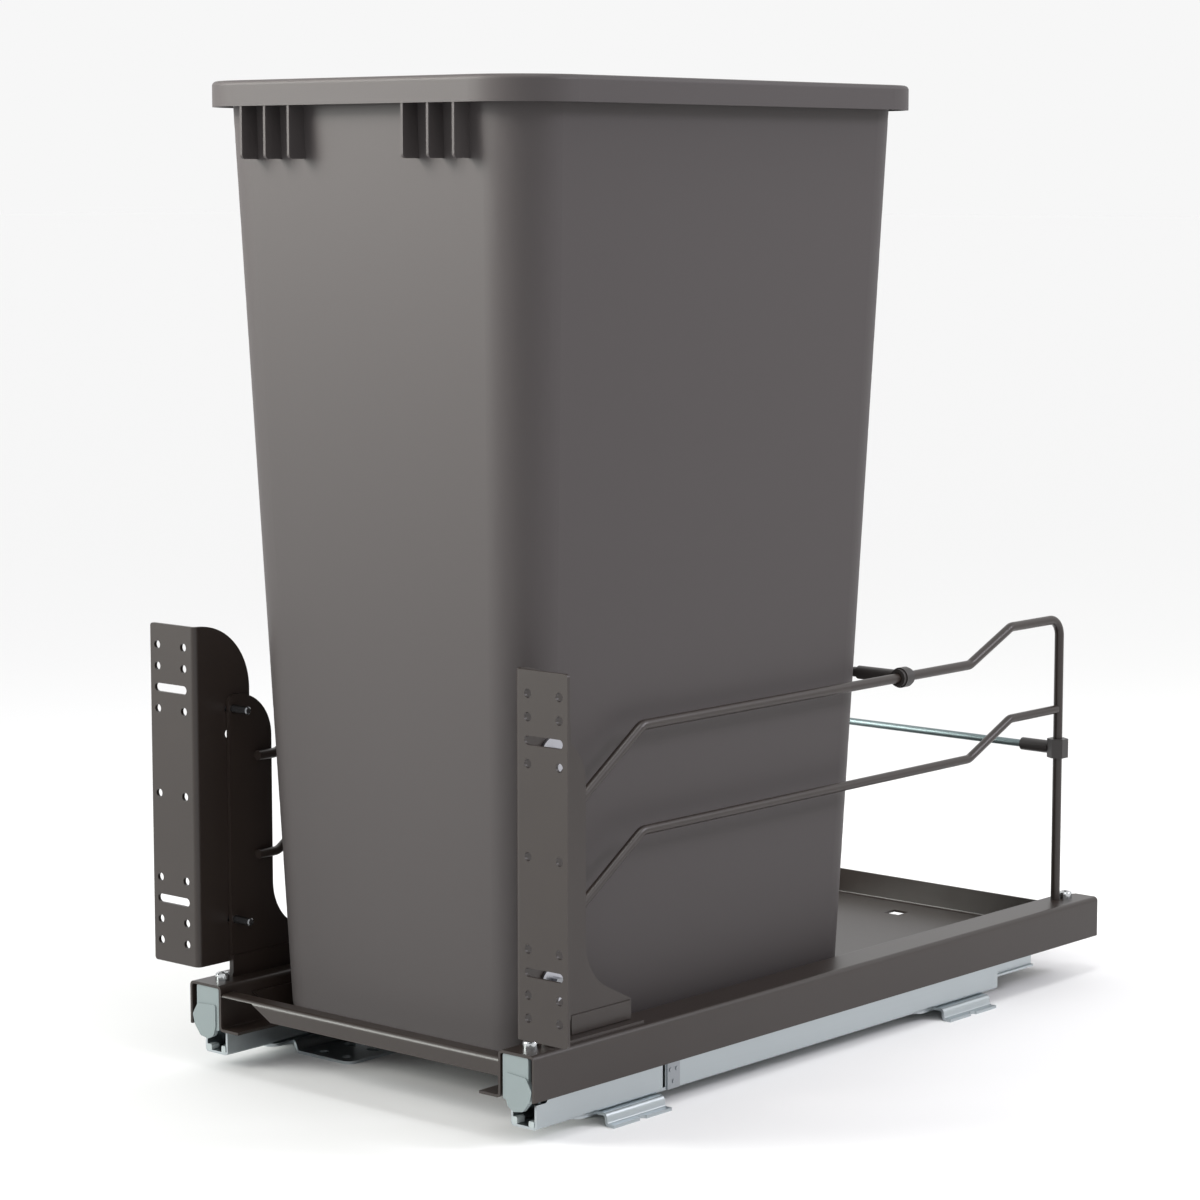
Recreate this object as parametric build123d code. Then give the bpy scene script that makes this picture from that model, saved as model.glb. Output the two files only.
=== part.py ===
from build123d import *
import os

# Pull out bin frame for a base cabinet. A welded sheet steel frame with a tray
# carries one tall waste bin and runs on two full extension slides, which stand
# on hat shaped brackets screwed to the cabinet floor. Two adjustable door
# brackets bolt to posts at the front.
# Millimetres. +X is to the right, +Y to the back, +Z up. Lengths along Y are
# measured here from the front of the side channels, and place_origin moves the
# finished pieces so that Z = 0 is the cabinet floor and the origin is at the
# middle of the overall width and depth.

# Frame
FRAME_LENGTH = 556.7
FRAME_WIDTH = 276.0
FRAME_SHEET = 1.6
FRAME_BEND = 2.0
CHANNEL_WIDTH = 26.6
CHANNEL_OUTER_DEPTH = 26.0
CHANNEL_INNER_DEPTH = 27.2
CHANNEL_FLANGE = 14.4
CHANNEL_CORNER_CUT_X = 10.0
CHANNEL_CORNER_CUT_Y = 14.0

# Tray pan
PAN_SHEET = 1.5
PAN_WALL_HEIGHT = 18.2
PAN_SIDE_FRONT = 25.0
PAN_FLOOR_FRONT = 46.0
PAN_REAR_GAP = 5.4
PAN_HOLE = 12.0
PAN_HOLE_SETBACK = 31.0

# Front rail
RAIL_DEPTH = 10.0
RAIL_HEIGHT = 10.4
RAIL_DROP = 4.6
RAIL_RELIEF_TOP = 26.0
RAIL_RELIEF_BOTTOM = 44.0

# Slides
SLIDE_INWARD = 1.1
MEMBER_WIDTH = 18.9
MEMBER_SHEET = 1.5
MEMBER_BEND = 1.2
MEMBER_WALL_HEIGHT = 18.7
MEMBER_FRONT = 7.4
MEMBER_REAR_GAP = 108.3
MEMBER_NOTCH_LENGTH = 8.0
MEMBER_NOTCH_DEPTH = 4.5
MEMBER_SLOT_FRONT = 107.0
MEMBER_SLOT_WIDTH = 2.2
MEMBER_SLOT_HEIGHT = 16.0
BEAM_HEIGHT = 28.4
BEAM_WIDTH = 10.0
BEAM_LIP = 1.8
BEAM_SHEET = 1.4
BEAM_FRONT = 25.0
BEAM_REAR_GAP = 63.7
RUNNER_SHEET = 1.4
RUNNER_HEIGHT = 22.4
RUNNER_FRONT = 3.0
RUNNER_REAR_GAP = 6.7
ROLLER_DIAMETER = 5.0
ROLLER_LENGTH = 9.2
ROLLER_GAP = 0.2
ROLLER_COUNT = 6
CAGE_SHEET = 1.2
CAGE_SIDE = 1.0
CAGE_POCKET_GAP = 0.3
LOWER_CAGE_FRONT = 148.0
UPPER_CAGE_FRONT = 160.0
CAGE_REAR_GAP = 90.4

# End stop of each runner, a moulded plate with a lobe that leans outwards
STOP_THICKNESS = 2.2
STOP_LOBE_PROUD = 0.8
STOP_LOBE_HEIGHT = 21.3
STOP_LOBE_REACH = 12.5
STOP_LOBE_DROP = 6.8
STOP_PLATE_GAP = 0.3
STOP_CORNER = 1.0
STOP_LOBE_CORNER = 1.6

# Small fittings on the slides
GLIDE_LENGTH = 6.0
GLIDE_PROUD = 0.4
GLIDE_WIDTH = 3.4
GLIDE_HEIGHT = 4.0
CLIP_THICKNESS = 0.8
CLIP_LENGTH = 11.0
CLIP_HEIGHT = 17.0
CLIP_GAP = 1.2
DIMPLE_DIAMETER = 2.6
DIMPLE_PROUD = 0.5

# Hat brackets under the slides
FLOOR_BRACKET_SHEET = 1.8
FLOOR_BRACKET_STEP = 6.0
FLOOR_BRACKET_BEND = 2.0
FLOOR_BRACKET_LENGTH = 50.0
FLOOR_BRACKET_INNER_FOOT = 44.0
FLOOR_BRACKET_INNER_REACH = 11.6
FLOOR_BRACKET_OUTER_REACH = 13.6
FLOOR_BRACKET_OUTER_FOOT = 5.6
FLOOR_BRACKET_SLOPE_RUN = 2.8
FLOOR_BRACKET_CORNER = 6.0
FLOOR_BRACKET_TONGUE = 17.0
FLOOR_BRACKET_FRONT = 60.0
FLOOR_BRACKET_REAR_GAP = 16.4
FLOOR_HOLE_DIAMETER = 5.5
FLOOR_HOLE_PITCH = 19.5
FLOOR_HOLE_SETBACK = 9.0
FLOOR_HOLE_INSET = 11.0
FLOOR_SLOT_LENGTH = 9.0
FLOOR_SLOT_HEIGHT = 5.0
FLOOR_SLOT_SETBACK = 31.0
FLOOR_NOTCH_RADIUS = 3.0

# Soft close dampers
DAMPER_LENGTH = 92.0
DAMPER_WIDTH = 10.0
DAMPER_HEIGHT = 11.0
DAMPER_REAR_GAP = 56.4
DAMPER_UNDER_CHANNEL = 3.6
DAMPER_CORNER = 2.5
DAMPER_ROD_DIAMETER = 3.0
DAMPER_ROD_GAP = 0.1
DAMPER_ROD_INSIDE = 80.0
DAMPER_CAP_DIAMETER = 7.0
DAMPER_CAP_LENGTH = 6.0
DAMPER_CAP_GAP = 1.0
STRIKER_SHEET = 2.0
STRIKER_WIDTH = 12.0
STRIKER_DROP = 13.0
STRIKER_FOOT = 10.0

# Posts at the front
POST_SHEET = 2.5
POST_FRONT = 21.5
POST_WIDTH = 34.0
POST_HEIGHT = 170.1
POST_FRONT_CORNER = 5.0
POST_REAR_CORNER = 27.5
POST_FOOT_LENGTH = 72.5
POST_FOOT_HEIGHT = 14.0
POST_FLARE_HEIGHT = 33.1
POST_FLARE_RADIUS = 32.0
POST_FLANGE = 7.6
POST_BAND_HEIGHT = 11.6
POST_BAND_FOOT = 2.4
POST_BAND_RAISE = 0.8
POST_BAND_CORNER = 1.0

# Door brackets
DOOR_SHEET = 2.0
DOOR_BEND = 2.4
DOOR_GAP = 1.0
DOOR_FLANGE = 38.2
DOOR_SIDE_DEPTH = 43.5
DOOR_HEIGHT = 203.2
DOOR_LIFT = 9.3
DOOR_SIDE_CORNER = 40.0
DOOR_CORNER = 2.0
DOOR_SIDE_LOW_CORNER = 4.0
DOOR_PITCH = 12.7
DOOR_COLUMN_PITCH = 22.6
DOOR_EDGE = 5.9
DOOR_HOLE_DIAMETER = 5.1
DOOR_HOLE_PITCH_SHARES = (0, 1, 3, 7, 11, 13, 14)
DOOR_SLOT_PITCH_SHARES = (2, 12)
DOOR_BOLT_PITCH_SHARES = (1, 11)
DOOR_SPARE_SLOT_DROP = 15.0
DOOR_ADJUST_BACK = 1.8
DOOR_ADJUST_FORWARD = 6.0
SLIP_GAP = 0.3

# Bolts that clamp the door brackets to the posts
BOLT_DIAMETER = 4.8
BOLT_SETBACK = 25.0
BOLT_INSIDE = 13.0
BOLT_HEAD_FLATS = 8.0
BOLT_HEAD_HEIGHT = 4.0
BOLT_CHAMFER = 0.6
BOLT_HOLE_GAP = 0.15
WASHER_DIAMETER = 21.0
WASHER_THICKNESS = 1.5

# Screws that hold the side channels to the runners
SCREW_HEAD_DIAMETER = 8.8
SCREW_HEAD_HEIGHT = 4.6
SCREW_HEAD_ROUND = 1.4
SCREW_RECESS_WIDTH = 1.6
SCREW_RECESS_DEPTH = 2.0
SCREW_SHANK_DIAMETER = 4.8
SCREW_INSIDE = 1.8
SCREW_TURN = 30.0
SCREW_SLOT_PLAY = 2.0
SCREW_FRONT = 13.0
SCREW_REAR = 17.0

# Wire rails
WIRE_DIAMETER = 6.0
LOW_WIRE_DIAMETER = 5.5
WIRE_START = 41.0
WIRE_FIRST_BEND = 57.0
WIRE_RISE_END = 109.5
WIRE_DIP_BEFORE_POST = 101.9
WIRE_DIP_END_BEFORE_POST = 56.4
WIRE_POST_SETBACK = 25.3
WIRE_BEND = 9.0
WIRE_CORNER = 11.0
UPPER_WIRE_START_HEIGHT = 131.9
UPPER_WIRE_RUN_HEIGHT = 167.4
UPPER_WIRE_TOP_HEIGHT = 187.1
LOWER_WIRE_START_HEIGHT = 72.1
LOWER_WIRE_RUN_HEIGHT = 107.1
LOWER_WIRE_TOP_HEIGHT = 127.5

# Cross rods with their sleeves and clips
ROD_DIAMETER = 4.8
ROD_SLEEVE_DIAMETER = 8.4
ROD_SLEEVE_LENGTH = 21.5
ROD_SLEEVE_OVERLAP = 12.0
ROD_FIT = 0.05
REAR_ROD_HEIGHT = 101.5
REAR_CLIP_FLATS = 12.0
REAR_CLIP_HEIGHT = 12.4
RETAINER_SETBACK = 198.7
RETAINER_RING_DIAMETER = 12.6
RETAINER_RING_LENGTH = 6.4
RETAINER_RING_COLLAR = 11.0
RETAINER_COLLAR_LENGTH = 2.2
RETAINER_SLEEVE_LENGTH = 28.0
RETAINER_NECK_DIAMETER = 6.2
RETAINER_NECK_LENGTH = 4.0

# Waste bin
BIN_SIDE_SPACE = 3.95
BIN_REAR_SPACE = 188.2
BIN_HEIGHT = 552.3
BIN_RIM_HEIGHT = 14.6
BIN_RIM_OVERHANG = 11.2
BIN_RIM_LIP = 2.2
BIN_RIM_TOP = 2.6
BIN_RIM_ROUND = 2.8
BIN_CORNER = 42.0
BIN_FOOT_CORNER = 24.0
BIN_TAPER = 23.2
BIN_WALL = 2.4
BIN_FLOOR = 3.0
BIN_FOOT_ROUND = 12.0
BIN_SEAT_GAP = 0.3
FIN_THICKNESS = 1.7
FIN_PITCH = 19.2
FIN_GROUP_FROM_LEFT = 68.05
FIN_GROUP_FROM_RIGHT = 72.65
FIN_DROP = 29.8
FIN_CORNER = 2.5
FIN_FRONT_INSET = 0.4

# One overrun for every cutter
OVERRUN = 1.0


# Levels and places that follow from the sizes above
slide_bottom = FLOOR_BRACKET_SHEET + FLOOR_BRACKET_STEP
lower_track = slide_bottom + MEMBER_SHEET
beam_bottom = lower_track + ROLLER_DIAMETER + 2 * ROLLER_GAP
beam_top = beam_bottom + BEAM_HEIGHT
upper_track = beam_top + ROLLER_DIAMETER + 2 * ROLLER_GAP
runner_top = upper_track + RUNNER_SHEET
channel_top = runner_top + FRAME_SHEET
channel_inner_bottom = channel_top - CHANNEL_INNER_DEPTH
channel_outer_face = FRAME_WIDTH / 2
channel_inner_face = channel_outer_face - CHANNEL_WIDTH
slide_centre = channel_outer_face - CHANNEL_WIDTH / 2 - SLIDE_INWARD
pan_bottom = channel_inner_bottom + FRAME_SHEET
pan_floor = pan_bottom + PAN_SHEET
pan_rear = FRAME_LENGTH - PAN_REAR_GAP
rail_top = channel_top - RAIL_DROP
door_rear_face = -DOOR_GAP
door_front_face = door_rear_face - DOOR_SHEET
door_bottom = channel_top + DOOR_LIFT
door_hole_base = door_bottom + DOOR_PITCH
depth_centre = (FRAME_LENGTH + door_front_face) / 2
post_inner = channel_inner_face + CHANNEL_WIDTH / 2 - FRAME_SHEET / 2 + SLIP_GAP
post_outer = post_inner + POST_SHEET
door_side_inner = post_outer + SLIP_GAP
door_side_outer = door_side_inner + DOOR_SHEET
wire_x = post_inner - WIRE_DIAMETER / 2
wire_post_y = FRAME_LENGTH - WIRE_POST_SETBACK
wire_dip_start = wire_post_y - WIRE_DIP_BEFORE_POST
wire_dip_end = wire_post_y - WIRE_DIP_END_BEFORE_POST
retainer_y = FRAME_LENGTH - RETAINER_SETBACK
bin_bottom = pan_floor + BIN_SEAT_GAP
bin_top = bin_bottom + BIN_HEIGHT
bin_rim_bottom = bin_top - BIN_RIM_HEIGHT
bin_rim_width = FRAME_WIDTH - 2 * BIN_SIDE_SPACE
bin_rim_depth = FRAME_LENGTH - BIN_REAR_SPACE
bin_centre_y = bin_rim_depth / 2
member_rear = FRAME_LENGTH - MEMBER_REAR_GAP
beam_length = FRAME_LENGTH - BEAM_REAR_GAP - BEAM_FRONT
runner_rear = FRAME_LENGTH - RUNNER_REAR_GAP
cage_length = member_rear - CAGE_REAR_GAP - LOWER_CAGE_FRONT
rear_bracket_front = member_rear - FLOOR_BRACKET_REAR_GAP - FLOOR_BRACKET_LENGTH
damper_front = member_rear - DAMPER_REAR_GAP - DAMPER_LENGTH
bolt_levels = [door_hole_base + row * DOOR_PITCH for row in DOOR_BOLT_PITCH_SHARES]


def along_y(face, front, rear):
    """Extrude a face drawn in X and Z from the front level to the rear level."""
    return Pos(0, front, 0) * extrude(Plane.XZ * face, rear - front, dir=(0, 1, 0))


def along_x(face, start, end):
    """Extrude a face drawn in Y and Z between two X levels."""
    return Pos(start, 0, 0) * extrude(Plane.YZ * face, end - start, dir=(1, 0, 0))


def along_z(face, bottom, top):
    """Extrude a face drawn in X and Y between two levels."""
    return Pos(0, 0, bottom) * extrude(face, top - bottom, dir=(0, 0, 1))


def block(x_range, y_range, z_range):
    """A plain block between three pairs of levels."""
    size = [high - low for low, high in (x_range, y_range, z_range)]
    middle = [(high + low) / 2 for low, high in (x_range, y_range, z_range)]
    return Pos(*middle) * Box(*size)


def bent_strip(points, thickness, bend):
    """The cut end of a bent sheet, drawn along the middle of its thickness."""
    return trace(FilletPolyline(*points, radius=bend), line_width=thickness)


def rounded_outline(points, radii):
    """A polygon whose corners are rounded, each by its own radius."""
    face = Polygon(*points, align=None)
    for point, radius in zip(points, radii):
        if radius:
            corner = face.vertices().sort_by_distance(Vector(*point))[0]
            face = fillet(corner, radius)
    return face


def rod_x(radius, start, end, y, z):
    """A round bar along X."""
    bar = Cylinder(radius, end - start, rotation=(0, 90, 0))
    return Pos((start + end) / 2, y, z) * bar


def rod_y(radius, front, rear, x, z):
    """A round bar along Y."""
    bar = Cylinder(radius, rear - front, rotation=(90, 0, 0))
    return Pos(x, (front + rear) / 2, z) * bar


def rod_z(radius, bottom, top, x, y):
    """A round bar along Z."""
    return Pos(x, y, (bottom + top) / 2) * Cylinder(radius, top - bottom)


def group(solids):
    """Separate like pieces kept together in one file."""
    return Compound(children=list(solids))


def side_channel():
    """Folded channel that covers the slide, with a flange under the tray."""
    half = FRAME_SHEET / 2
    points = (
        (channel_inner_face - CHANNEL_FLANGE, channel_inner_bottom + half),
        (channel_inner_face + half, channel_inner_bottom + half),
        (channel_inner_face + half, channel_top - half),
        (channel_outer_face - half, channel_top - half),
        (channel_outer_face - half, channel_top - CHANNEL_OUTER_DEPTH),
    )
    channel = along_y(bent_strip(points, FRAME_SHEET, FRAME_BEND), 0, FRAME_LENGTH)
    inner_edge = channel_inner_face - CHANNEL_FLANGE - OVERRUN
    corner = Polygon(
        (inner_edge, FRAME_LENGTH - CHANNEL_CORNER_CUT_Y),
        (channel_inner_face, FRAME_LENGTH - CHANNEL_CORNER_CUT_Y),
        (channel_inner_face + CHANNEL_CORNER_CUT_X, FRAME_LENGTH + OVERRUN),
        (inner_edge, FRAME_LENGTH + OVERRUN),
        align=None,
    )
    channel -= along_z(corner, channel_inner_bottom - OVERRUN, channel_top + OVERRUN)
    return channel - screw_slots(runner_top, channel_top)


def screw_places():
    """Where the front and rear screws stand along the channel."""
    return (SCREW_FRONT, FRAME_LENGTH - SCREW_REAR)


def screw_slots(bottom, top):
    """Short slots that let the channel shift a little on the runner before tightening."""
    width = SCREW_SHANK_DIAMETER + 2 * BOLT_HOLE_GAP
    slot = Rot(0, 0, 90) * SlotOverall(width + SCREW_SLOT_PLAY, width)
    return [Pos(slide_centre, y, 0) * along_z(slot, bottom - OVERRUN, top + OVERRUN)
            for y in screw_places()]


def tray_pan():
    """Shallow folded pan that lies on the flanges of the side channels."""
    half = PAN_SHEET / 2
    wall_top = pan_bottom + PAN_WALL_HEIGHT
    side = channel_inner_face - half
    points = ((-side, wall_top), (-side, pan_bottom + half),
              (side, pan_bottom + half), (side, wall_top))
    pan = along_y(bent_strip(points, PAN_SHEET, FRAME_BEND), PAN_SIDE_FRONT, pan_rear)
    front = Polygon(
        (PAN_SIDE_FRONT - OVERRUN, pan_bottom - OVERRUN),
        (PAN_FLOOR_FRONT, pan_bottom - OVERRUN),
        (PAN_FLOOR_FRONT, pan_floor),
        (PAN_SIDE_FRONT, wall_top),
        (PAN_SIDE_FRONT - OVERRUN, wall_top),
        align=None,
    )
    pan -= along_x(front, -channel_outer_face, channel_outer_face)
    inside = channel_inner_face - PAN_SHEET
    rear_points = ((pan_rear - PAN_WALL_HEIGHT, pan_bottom + half),
                   (pan_rear - half, pan_bottom + half), (pan_rear - half, wall_top))
    rear = along_x(bent_strip(rear_points, PAN_SHEET, FRAME_BEND), -inside, inside)
    corner = block((-channel_outer_face, channel_outer_face),
                   (pan_rear - FRAME_BEND - half, pan_rear + OVERRUN),
                   (pan_bottom - OVERRUN, wall_top + OVERRUN))
    pan = pan - corner + rear
    hole_y = pan_rear - PAN_HOLE_SETBACK
    pan -= block((-PAN_HOLE / 2, PAN_HOLE / 2),
                 (hole_y - PAN_HOLE / 2, hole_y + PAN_HOLE / 2),
                 (pan_bottom - OVERRUN, pan_floor + OVERRUN))
    return pan


def front_rail():
    """Folded rail across the front, with its left end relieved for the hand."""
    half = FRAME_SHEET / 2
    points = ((RAIL_DEPTH, rail_top - half), (half, rail_top - half),
              (half, rail_top - RAIL_HEIGHT))
    rail = along_x(bent_strip(points, FRAME_SHEET, FRAME_BEND),
                   -channel_inner_face, channel_inner_face)
    level = rail_top - FRAME_SHEET
    low = rail_top - RAIL_HEIGHT - OVERRUN
    relief = Polygon(
        (-channel_inner_face - OVERRUN, level),
        (-channel_inner_face + RAIL_RELIEF_TOP, level),
        (-channel_inner_face + RAIL_RELIEF_BOTTOM, low),
        (-channel_inner_face - OVERRUN, low),
        align=None,
    )
    return rail - along_y(relief, -OVERRUN, FRAME_SHEET + FRAME_BEND)


def cabinet_member():
    """Fixed channel of the slide, open at the top."""
    half = MEMBER_SHEET / 2
    reach = MEMBER_WIDTH / 2 - half
    top = slide_bottom + MEMBER_WALL_HEIGHT
    points = ((slide_centre - reach, top), (slide_centre - reach, slide_bottom + half),
              (slide_centre + reach, slide_bottom + half), (slide_centre + reach, top))
    member = along_y(bent_strip(points, MEMBER_SHEET, MEMBER_BEND), MEMBER_FRONT, member_rear)
    outer = (slide_centre + reach - MEMBER_SHEET, slide_centre + MEMBER_WIDTH)
    notch = Polygon(
        (MEMBER_FRONT - OVERRUN, top - MEMBER_NOTCH_DEPTH),
        (MEMBER_FRONT + MEMBER_NOTCH_LENGTH, top - MEMBER_NOTCH_DEPTH),
        (MEMBER_FRONT + MEMBER_NOTCH_LENGTH + MEMBER_NOTCH_DEPTH, top + OVERRUN),
        (MEMBER_FRONT - OVERRUN, top + OVERRUN),
        align=None,
    )
    member -= along_x(notch, *outer)
    slot_front = MEMBER_FRONT + MEMBER_SLOT_FRONT
    member -= block(outer, (slot_front, slot_front + MEMBER_SLOT_WIDTH),
                    (top - MEMBER_SLOT_HEIGHT, top + OVERRUN))
    return member


def member_clip():
    """Small spring plate on the outside of the fixed channel."""
    face = slide_centre + MEMBER_WIDTH / 2
    front = MEMBER_FRONT + MEMBER_SLOT_FRONT + MEMBER_SLOT_WIDTH + CLIP_GAP
    bottom = slide_bottom + CLIP_THICKNESS
    plate = block((face, face + CLIP_THICKNESS), (front, front + CLIP_LENGTH),
                  (bottom, bottom + CLIP_HEIGHT))
    places = ((CLIP_LENGTH / 4, CLIP_HEIGHT * 2 / 3), (CLIP_LENGTH * 3 / 4, CLIP_HEIGHT * 2 / 3),
              (CLIP_LENGTH / 2, CLIP_HEIGHT / 4))
    for y, z in places:
        plate += rod_x(DIMPLE_DIAMETER / 2, face, face + CLIP_THICKNESS + DIMPLE_PROUD,
                       front + y, bottom + z)
    return plate


def front_glides():
    """White end guides in the two lower corners of the fixed channel."""
    inside = MEMBER_WIDTH / 2 - MEMBER_SHEET
    front = MEMBER_FRONT - GLIDE_PROUD
    glides = []
    for low, high, height in ((-inside, -inside + GLIDE_WIDTH, GLIDE_HEIGHT),
                              (inside - GLIDE_HEIGHT, inside, GLIDE_WIDTH)):
        glide = block((slide_centre + low, slide_centre + high),
                      (front, front + GLIDE_LENGTH), (lower_track, lower_track + height))
        glides.append(fillet(glide.edges().filter_by(Axis.Y), GLIDE_WIDTH / 4))
    return group(glides)


def intermediate_beam():
    """Moving beam between the fixed channel and the runner, with lips for the rollers."""
    half = BEAM_WIDTH / 2
    lip = half + BEAM_LIP
    beam = block((-half, half), (0, beam_length), (0, BEAM_HEIGHT))
    beam += block((-lip, lip), (0, beam_length), (0, BEAM_SHEET))
    beam += block((-lip, lip), (0, beam_length), (BEAM_HEIGHT - BEAM_SHEET, BEAM_HEIGHT))
    beam -= block((-half + BEAM_SHEET, half - BEAM_SHEET), (-OVERRUN, beam_length + OVERRUN),
                  (BEAM_SHEET, BEAM_HEIGHT - BEAM_SHEET))
    return Pos(slide_centre, BEAM_FRONT, beam_bottom) * beam


def drawer_runner():
    """Inverted channel fixed under the top of the side channel."""
    half = RUNNER_SHEET / 2
    reach = MEMBER_WIDTH / 2 - half
    low = runner_top - RUNNER_HEIGHT
    points = ((slide_centre - reach, low), (slide_centre - reach, runner_top - half),
              (slide_centre + reach, runner_top - half), (slide_centre + reach, low))
    runner = along_y(bent_strip(points, RUNNER_SHEET, MEMBER_BEND),
                     RUNNER_FRONT, runner_rear)
    return runner - screw_slots(upper_track, runner_top)


def roller_places(front):
    """Middles of the rollers along one cage."""
    pitch = cage_length / ROLLER_COUNT
    return [front + pitch * (index + 1 / 2) for index in range(ROLLER_COUNT)]


def roller_cage(front, track):
    """Plastic strip that keeps the rollers apart."""
    middle = track + ROLLER_GAP + ROLLER_DIAMETER / 2
    half_width = ROLLER_LENGTH / 2 + CAGE_POCKET_GAP + CAGE_SIDE
    cage = block((slide_centre - half_width, slide_centre + half_width),
                 (front, front + cage_length),
                 (middle - CAGE_SHEET / 2, middle + CAGE_SHEET / 2))
    pocket_x = ROLLER_LENGTH / 2 + CAGE_POCKET_GAP
    pocket_y = ROLLER_DIAMETER / 2 + CAGE_POCKET_GAP
    for y in roller_places(front):
        cage -= block((slide_centre - pocket_x, slide_centre + pocket_x),
                      (y - pocket_y, y + pocket_y), (middle - CAGE_SHEET, middle + CAGE_SHEET))
    return cage


def rollers(front, track):
    """Steel rollers of one cage."""
    middle = track + ROLLER_GAP + ROLLER_DIAMETER / 2
    half = ROLLER_LENGTH / 2
    return group(rod_x(ROLLER_DIAMETER / 2, slide_centre - half, slide_centre + half, y, middle)
                 for y in roller_places(front))


def front_stop():
    """Moulded end stop of the runner, with the teardrop lobe of the height adjuster."""
    half = MEMBER_WIDTH / 2
    top = runner_top - STOP_PLATE_GAP
    low = runner_top - RUNNER_HEIGHT - STOP_LOBE_DROP / 2
    plate_points = ((slide_centre - half, top), (slide_centre + half, top),
                    (slide_centre + half, low), (slide_centre - half, low))
    plate = rounded_outline(plate_points, [STOP_CORNER] * len(plate_points))
    front = RUNNER_FRONT - STOP_THICKNESS
    stop = along_y(plate, front, RUNNER_FRONT)
    lobe_shares = ((-0.57, 1.0), (0.66, 0.95), (1.0, 0.62), (0.87, 0.34),
                   (0.47, 0.05), (-0.05, 0.0), (-0.41, 0.11), (-0.57, 0.37))
    foot = runner_top - RUNNER_HEIGHT - STOP_LOBE_DROP - RUNNER_SHEET - STOP_CORNER
    lobe_points = [(slide_centre + share * STOP_LOBE_REACH, foot + rise * STOP_LOBE_HEIGHT)
                   for share, rise in lobe_shares]
    lobe = rounded_outline(lobe_points, [STOP_LOBE_CORNER] * len(lobe_points))
    return stop + along_y(lobe, front - STOP_LOBE_PROUD, RUNNER_FRONT)


def floor_bracket(front):
    """Hat bracket that carries the slide and is screwed to the cabinet floor."""
    half = FLOOR_BRACKET_SHEET / 2
    low = half
    high = slide_bottom - half
    inner_top = slide_centre - FLOOR_BRACKET_INNER_REACH
    outer_top = slide_centre + FLOOR_BRACKET_OUTER_REACH
    inner_end = inner_top - FLOOR_BRACKET_SLOPE_RUN - FLOOR_BRACKET_INNER_FOOT
    outer_end = outer_top + FLOOR_BRACKET_OUTER_FOOT + half
    points = ((inner_end, low), (inner_top - FLOOR_BRACKET_SLOPE_RUN, low),
              (inner_top, high), (outer_top, high), (outer_top + half, low), (outer_end, low))
    rear = front + FLOOR_BRACKET_LENGTH
    bracket = along_y(bent_strip(points, FLOOR_BRACKET_SHEET, FLOOR_BRACKET_BEND), front, rear)
    corners = bracket.edges().filter_by(Axis.Z).group_by(Axis.X)[0]
    bracket = fillet(corners, FLOOR_BRACKET_CORNER)
    tongue_face = rounded_outline(
        ((inner_top + half, front - FLOOR_BRACKET_TONGUE),
         (outer_top - FLOOR_BRACKET_CORNER, front - FLOOR_BRACKET_TONGUE),
         (outer_top - FLOOR_BRACKET_CORNER, front + half), (inner_top + half, front + half)),
        (FLOOR_BRACKET_CORNER, FLOOR_BRACKET_CORNER, 0, 0))
    bracket += along_z(tongue_face, slide_bottom - FLOOR_BRACKET_SHEET, slide_bottom)
    under = -OVERRUN
    over = FLOOR_BRACKET_SHEET + OVERRUN
    hole_x = inner_end + FLOOR_HOLE_INSET
    for x in (hole_x, hole_x + FLOOR_HOLE_PITCH):
        bracket -= rod_z(FLOOR_HOLE_DIAMETER / 2, under, over, x, front + FLOOR_HOLE_SETBACK)
        slot = Pos(x, front + FLOOR_SLOT_SETBACK) * SlotOverall(FLOOR_SLOT_LENGTH, FLOOR_SLOT_HEIGHT)
        bracket -= along_z(slot, under, over)
    bracket -= rod_z(FLOOR_NOTCH_RADIUS, under, over, outer_end, front + FLOOR_BRACKET_LENGTH / 2)
    return bracket


def damper_axis():
    """Middle of the damper in X and Z."""
    x = slide_centre - MEMBER_WIDTH / 2 - DAMPER_WIDTH / 2
    z = channel_inner_bottom - DAMPER_UNDER_CHANNEL - DAMPER_HEIGHT / 2
    return x, z


def damper_body():
    """Closed cylinder block of the soft close damper, fixed to the slide."""
    x, z = damper_axis()
    face = Pos(x, z) * RectangleRounded(DAMPER_WIDTH, DAMPER_HEIGHT, DAMPER_CORNER)
    body = along_y(face, damper_front, damper_front + DAMPER_LENGTH)
    bore = DAMPER_ROD_DIAMETER / 2 + DAMPER_ROD_GAP
    return body - rod_y(bore, damper_front - OVERRUN,
                        damper_front + DAMPER_ROD_INSIDE + OVERRUN, x, z)


def damper_rod():
    """Piston rod with its round buffer, pressed in while the frame is closed."""
    x, z = damper_axis()
    cap_rear = damper_front - DAMPER_CAP_GAP
    cap_front = cap_rear - DAMPER_CAP_LENGTH
    rod = rod_y(DAMPER_ROD_DIAMETER / 2, cap_rear, damper_front + DAMPER_ROD_INSIDE, x, z)
    return rod + rod_y(DAMPER_CAP_DIAMETER / 2, cap_front, cap_rear, x, z)


def closing_striker():
    """Angle under the side channel that meets the damper in the last of the travel."""
    x, z = damper_axis()
    rear = damper_front - DAMPER_CAP_GAP - DAMPER_CAP_LENGTH - SLIP_GAP
    half = STRIKER_SHEET / 2
    top = channel_inner_bottom
    points = ((rear - STRIKER_FOOT, top - half), (rear - half, top - half),
              (rear - half, top - STRIKER_DROP))
    width = min(STRIKER_WIDTH, CHANNEL_FLANGE)
    outer = channel_inner_face - FRAME_SHEET
    return along_x(bent_strip(points, STRIKER_SHEET, FRAME_BEND), outer - width, outer)


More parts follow.
